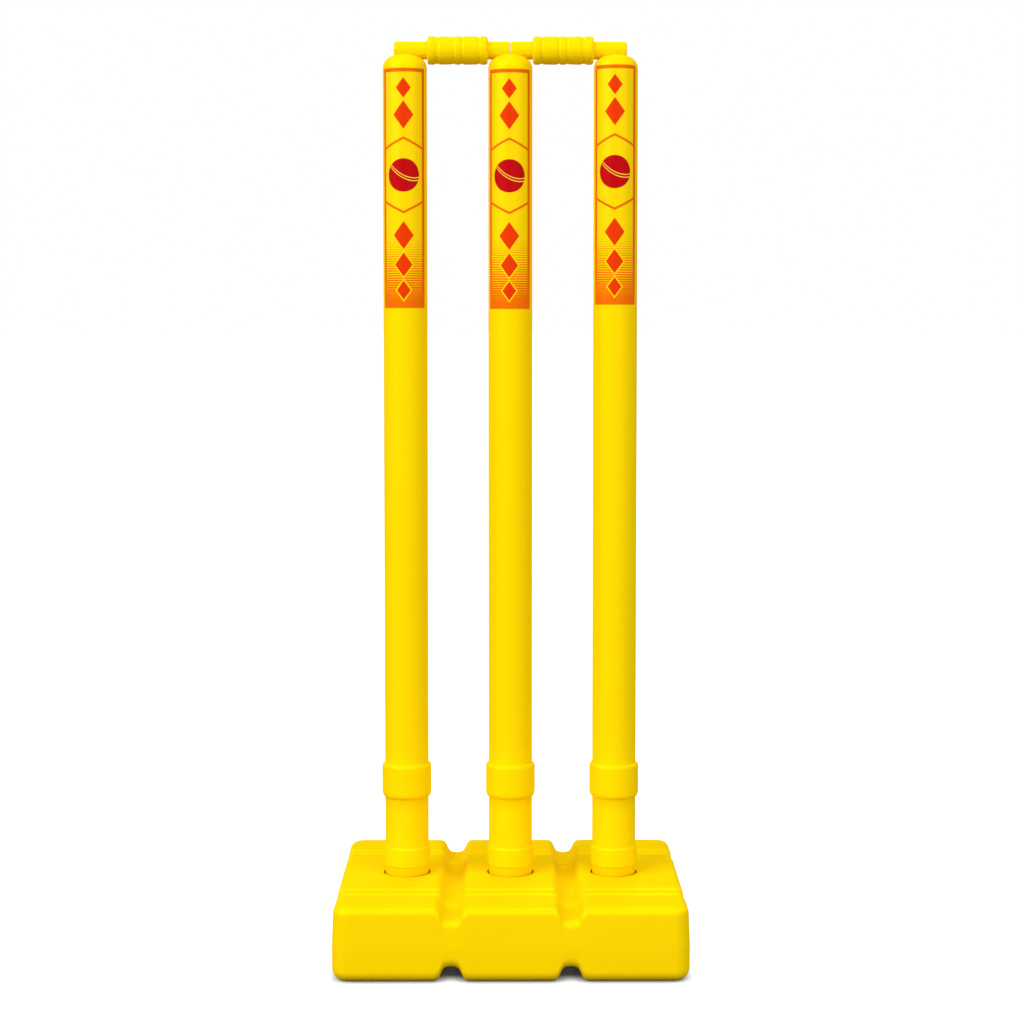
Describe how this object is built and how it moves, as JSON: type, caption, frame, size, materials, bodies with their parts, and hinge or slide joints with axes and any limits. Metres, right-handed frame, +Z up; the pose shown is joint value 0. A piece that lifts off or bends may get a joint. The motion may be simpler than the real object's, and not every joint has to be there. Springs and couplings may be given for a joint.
{
  "type": "cricket stumps",
  "caption": "Free-standing moulded plastic wicket: hollow stumps stand in a grooved block base, ringed bails lie in grooves across their domed tops, printed labels wrap the stump fronts.",
  "frame": {"origin": "on the ground, under the middle of the base and of the row of stumps", "axes": "+Z up along the stumps, X along the bails with +X to the right seen from the front, -Y towards the front, where the labels are"},
  "size_m": [0.273, 0.224, 0.7249],
  "materials": {
    "yellow_plastic": "satin",
    "label_film": "glossy printed film"
  },
  "bodies": {
    "base": {"base": "yellow_plastic"},
    "stump_left": {"stump_left": "yellow_plastic", "label_left": "label_film"},
    "stump_middle": {"stump_middle": "yellow_plastic", "label_middle": "label_film"},
    "stump_right": {"stump_right": "yellow_plastic", "label_right": "label_film"},
    "bail_left": {"bail_left": "yellow_plastic"},
    "bail_right": {"bail_right": "yellow_plastic"}
  },
  "joints": [
    {"name": "stump_middle_lift", "type": "slide", "parent": "base", "child": "stump_middle", "axis": [0, 0, 1], "range_m": [0, 0.06]},
    {"name": "stump_left_lift", "type": "slide", "parent": "base", "child": "stump_left", "axis": [0, 0, 1], "range_m": [0, 0.06]},
    {"name": "stump_right_lift", "type": "slide", "parent": "base", "child": "stump_right", "axis": [0, 0, 1], "range_m": [0, 0.06]},
    {"name": "bail_left_lift", "type": "slide", "parent": "stump_left", "child": "bail_left", "axis": [0, 0, 1], "range_m": [0, 0.03]},
    {"name": "bail_right_lift", "type": "slide", "parent": "stump_right", "child": "bail_right", "axis": [0, 0, 1], "range_m": [0, 0.03]}
  ],
  "couplings": [
    {"joint": "stump_left_lift", "follows": "stump_middle_lift", "ratio": 1},
    {"joint": "stump_right_lift", "follows": "stump_middle_lift", "ratio": 1}
  ]
}
